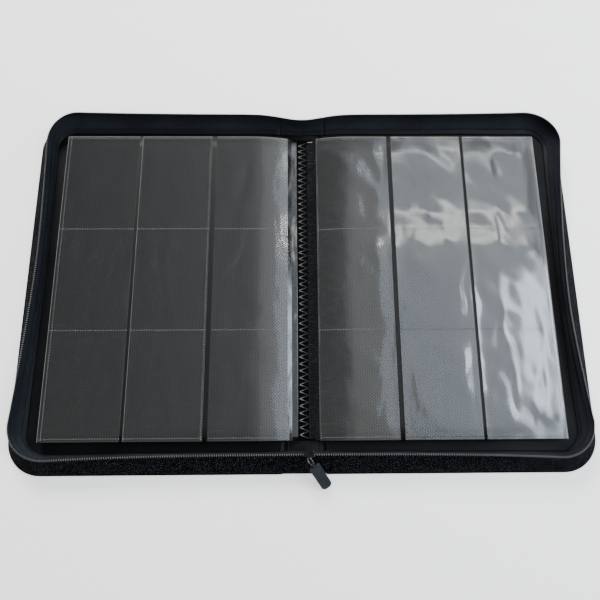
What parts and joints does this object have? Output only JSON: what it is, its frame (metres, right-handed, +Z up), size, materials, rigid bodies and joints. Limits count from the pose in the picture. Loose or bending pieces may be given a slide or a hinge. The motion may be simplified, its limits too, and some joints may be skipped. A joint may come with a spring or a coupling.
{
  "type": "trading card binder",
  "caption": "Zip-round card binder lying open: two soft trays hinged to a spine, bound pocket leaves that turn, and a slider with a rubber pull.",
  "frame": {"origin": "middle of the spine's underside, on the surface the open case lies on", "axes": "+X across to the right-hand cover, +Y to the back edge, +Z up out of the open case"},
  "size_m": [0.5, 0.3408, 0.0229],
  "materials": {
    "outer_fabric": "fine plain weave, matt",
    "inner_lining": "smooth laminated cloth, satin",
    "wall_lining": "smooth laminated cloth, satin",
    "stiffener_board": "pressed grey board",
    "zipper_tape": "woven tape",
    "zipper_coil": "moulded nylon monofilament",
    "binding_strip": "woven strip",
    "binding_thread": "twisted thread",
    "page_margin": "welded film, glossy",
    "page_backing": "fine twill embossed sheet",
    "pocket_film": "clear glossy film",
    "slider_metal": "black enamel",
    "link_metal": "black enamel, worn",
    "tab_rubber": "matt moulded rubber"
  },
  "bodies": {
    "spine": {"spine_skin": "outer_fabric", "spine_board": "stiffener_board", "spine_lining": "inner_lining", "binding_strip": "binding_strip", "binding_stitches": "binding_thread", "left_page_margins": "page_margin", "right_page_margins": "page_margin", "left_hinge_cloth": "outer_fabric", "right_hinge_cloth": "outer_fabric", "front_gusset": "outer_fabric", "back_gusset": "outer_fabric", "front_zip_end": "zipper_coil", "back_zip_end": "zipper_coil"},
    "left_cover": {"left_cover_skin": "outer_fabric", "left_cover_board": "stiffener_board", "left_cover_lining": "inner_lining", "left_side_wall": "outer_fabric", "left_wall_lining": "wall_lining", "left_zipper_tape": "zipper_tape", "left_zipper_coil": "zipper_coil"},
    "left_page_flange": {"left_page_flange": "page_margin"},
    "left_leaf_10": {"left_leaf_10": "page_backing"},
    "left_leaf_09": {"left_leaf_09": "page_backing"},
    "left_leaf_08": {"left_leaf_08": "page_backing"},
    "left_leaf_07": {"left_leaf_07": "page_backing"},
    "left_leaf_06": {"left_leaf_06": "page_backing"},
    "left_leaf_05": {"left_leaf_05": "page_backing"},
    "left_leaf_04": {"left_leaf_04": "page_backing"},
    "left_leaf_03": {"left_leaf_03": "page_backing"},
    "left_leaf_02": {"left_leaf_02": "page_backing"},
    "left_leaf_01": {"left_leaf_01_back_films": "pocket_film", "left_leaf_01_backing": "page_backing", "left_leaf_01_front_films": "pocket_film"},
    "right_cover": {"right_cover_skin": "outer_fabric", "right_cover_board": "stiffener_board", "right_cover_lining": "inner_lining", "right_side_wall": "outer_fabric", "right_wall_lining": "wall_lining", "right_zipper_tape": "zipper_tape", "right_zipper_coil": "zipper_coil"},
    "right_page_flange": {"right_page_flange": "page_margin"},
    "right_leaf_10": {"right_leaf_10": "page_backing"},
    "right_leaf_09": {"right_leaf_09": "page_backing"},
    "right_leaf_08": {"right_leaf_08": "page_backing"},
    "right_leaf_07": {"right_leaf_07": "page_backing"},
    "right_leaf_06": {"right_leaf_06": "page_backing"},
    "right_leaf_05": {"right_leaf_05": "page_backing"},
    "right_leaf_04": {"right_leaf_04": "page_backing"},
    "right_leaf_03": {"right_leaf_03": "page_backing"},
    "right_leaf_02": {"right_leaf_02": "page_backing"},
    "right_leaf_01": {"right_leaf_01_back_films": "pocket_film", "right_leaf_01_backing": "page_backing", "right_leaf_01_front_films": "pocket_film"},
    "zip_end_stop": {"zip_end_stop": "slider_metal"},
    "slider": {"slider_body": "slider_metal"},
    "pull_link": {"pull_link": "link_metal"},
    "pull_tab": {"pull_tab": "tab_rubber"}
  },
  "joints": [
    {"name": "left_cover_fold", "type": "hinge", "parent": "spine", "child": "left_cover", "pos_m": [-0.0165, 0, 0.0024], "axis": [0, 1, 0], "range_deg": [0, 90], "deforming": ["left_hinge_cloth", "front_gusset", "back_gusset", "front_zip_end", "back_zip_end"]},
    {"name": "left_page_block_fold", "type": "hinge", "parent": "spine", "child": "left_page_flange", "pos_m": [-0.01, 0, 0.004], "axis": [0, 1, 0], "range_deg": [0, 90], "deforming": ["left_page_margins"]},
    {"name": "left_leaf_10_turn", "type": "hinge", "parent": "left_page_flange", "child": "left_leaf_10", "pos_m": [0, 0, 0.01209], "axis": [0, -1, 0], "range_deg": [-180, 0]},
    {"name": "left_leaf_09_turn", "type": "hinge", "parent": "left_leaf_10", "child": "left_leaf_09", "pos_m": [0, 0, 0.01209], "axis": [0, -1, 0], "range_deg": [-180, 0]},
    {"name": "left_leaf_08_turn", "type": "hinge", "parent": "left_leaf_09", "child": "left_leaf_08", "pos_m": [0, 0, 0.01209], "axis": [0, -1, 0], "range_deg": [-180, 0]},
    {"name": "left_leaf_07_turn", "type": "hinge", "parent": "left_leaf_08", "child": "left_leaf_07", "pos_m": [0, 0, 0.01209], "axis": [0, -1, 0], "range_deg": [-180, 0]},
    {"name": "left_leaf_06_turn", "type": "hinge", "parent": "left_leaf_07", "child": "left_leaf_06", "pos_m": [0, 0, 0.01209], "axis": [0, -1, 0], "range_deg": [-180, 0]},
    {"name": "left_leaf_05_turn", "type": "hinge", "parent": "left_leaf_06", "child": "left_leaf_05", "pos_m": [0, 0, 0.01209], "axis": [0, -1, 0], "range_deg": [-180, 0]},
    {"name": "left_leaf_04_turn", "type": "hinge", "parent": "left_leaf_05", "child": "left_leaf_04", "pos_m": [0, 0, 0.01209], "axis": [0, -1, 0], "range_deg": [-180, 0]},
    {"name": "left_leaf_03_turn", "type": "hinge", "parent": "left_leaf_04", "child": "left_leaf_03", "pos_m": [0, 0, 0.01209], "axis": [0, -1, 0], "range_deg": [-180, 0]},
    {"name": "left_leaf_02_turn", "type": "hinge", "parent": "left_leaf_03", "child": "left_leaf_02", "pos_m": [0, 0, 0.01209], "axis": [0, -1, 0], "range_deg": [-180, 0]},
    {"name": "left_leaf_01_turn", "type": "hinge", "parent": "left_leaf_02", "child": "left_leaf_01", "pos_m": [0, 0, 0.01209], "axis": [0, -1, 0], "range_deg": [-180, 0]},
    {"name": "right_cover_fold", "type": "hinge", "parent": "spine", "child": "right_cover", "pos_m": [0.0165, 0, 0.0024], "axis": [0, -1, 0], "range_deg": [0, 90], "deforming": ["right_hinge_cloth"]},
    {"name": "right_page_block_fold", "type": "hinge", "parent": "spine", "child": "right_page_flange", "pos_m": [0.01, 0, 0.004], "axis": [0, -1, 0], "range_deg": [0, 90], "deforming": ["right_page_margins"]},
    {"name": "right_leaf_10_turn", "type": "hinge", "parent": "right_page_flange", "child": "right_leaf_10", "pos_m": [0, 0, 0.01209], "axis": [0, 1, 0], "range_deg": [-180, 0]},
    {"name": "right_leaf_09_turn", "type": "hinge", "parent": "right_leaf_10", "child": "right_leaf_09", "pos_m": [0, 0, 0.01209], "axis": [0, 1, 0], "range_deg": [-180, 0]},
    {"name": "right_leaf_08_turn", "type": "hinge", "parent": "right_leaf_09", "child": "right_leaf_08", "pos_m": [0, 0, 0.01209], "axis": [0, 1, 0], "range_deg": [-180, 0]},
    {"name": "right_leaf_07_turn", "type": "hinge", "parent": "right_leaf_08", "child": "right_leaf_07", "pos_m": [0, 0, 0.01209], "axis": [0, 1, 0], "range_deg": [-180, 0]},
    {"name": "right_leaf_06_turn", "type": "hinge", "parent": "right_leaf_07", "child": "right_leaf_06", "pos_m": [0, 0, 0.01209], "axis": [0, 1, 0], "range_deg": [-180, 0]},
    {"name": "right_leaf_05_turn", "type": "hinge", "parent": "right_leaf_06", "child": "right_leaf_05", "pos_m": [0, 0, 0.01209], "axis": [0, 1, 0], "range_deg": [-180, 0]},
    {"name": "right_leaf_04_turn", "type": "hinge", "parent": "right_leaf_05", "child": "right_leaf_04", "pos_m": [0, 0, 0.01209], "axis": [0, 1, 0], "range_deg": [-180, 0]},
    {"name": "right_leaf_03_turn", "type": "hinge", "parent": "right_leaf_04", "child": "right_leaf_03", "pos_m": [0, 0, 0.01209], "axis": [0, 1, 0], "range_deg": [-180, 0]},
    {"name": "right_leaf_02_turn", "type": "hinge", "parent": "right_leaf_03", "child": "right_leaf_02", "pos_m": [0, 0, 0.01209], "axis": [0, 1, 0], "range_deg": [-180, 0]},
    {"name": "right_leaf_01_turn", "type": "hinge", "parent": "right_leaf_02", "child": "right_leaf_01", "pos_m": [0, 0, 0.01209], "axis": [0, 1, 0], "range_deg": [-180, 0]},
    {"name": "zip_end_shift", "type": "slide", "parent": "right_cover", "child": "zip_end_stop", "axis": [1, 0, 0], "range_m": [0, 0.027]},
    {"name": "slider_run", "type": "slide", "parent": "zip_end_stop", "child": "slider", "axis": [1, 0, 0], "range_m": [0, 0.175]},
    {"name": "pull_swing", "type": "hinge", "parent": "slider", "child": "pull_link", "pos_m": [0.0041, -0.1515, 0.0189], "axis": [0, 0, 1], "range_deg": [-78, 10]},
    {"name": "tab_lift", "type": "hinge", "parent": "pull_link", "child": "pull_tab", "pos_m": [0.00662, -0.15523, 0.0189], "axis": [-0.829, -0.5592, 0], "range_deg": [0, 74]}
  ],
  "couplings": [
    {"joint": "left_page_block_fold", "follows": "left_cover_fold", "ratio": 1},
    {"joint": "right_page_block_fold", "follows": "right_cover_fold", "ratio": 1},
    {"joint": "zip_end_shift", "follows": "right_cover_fold", "m_per_rad": 0.017189}
  ]
}
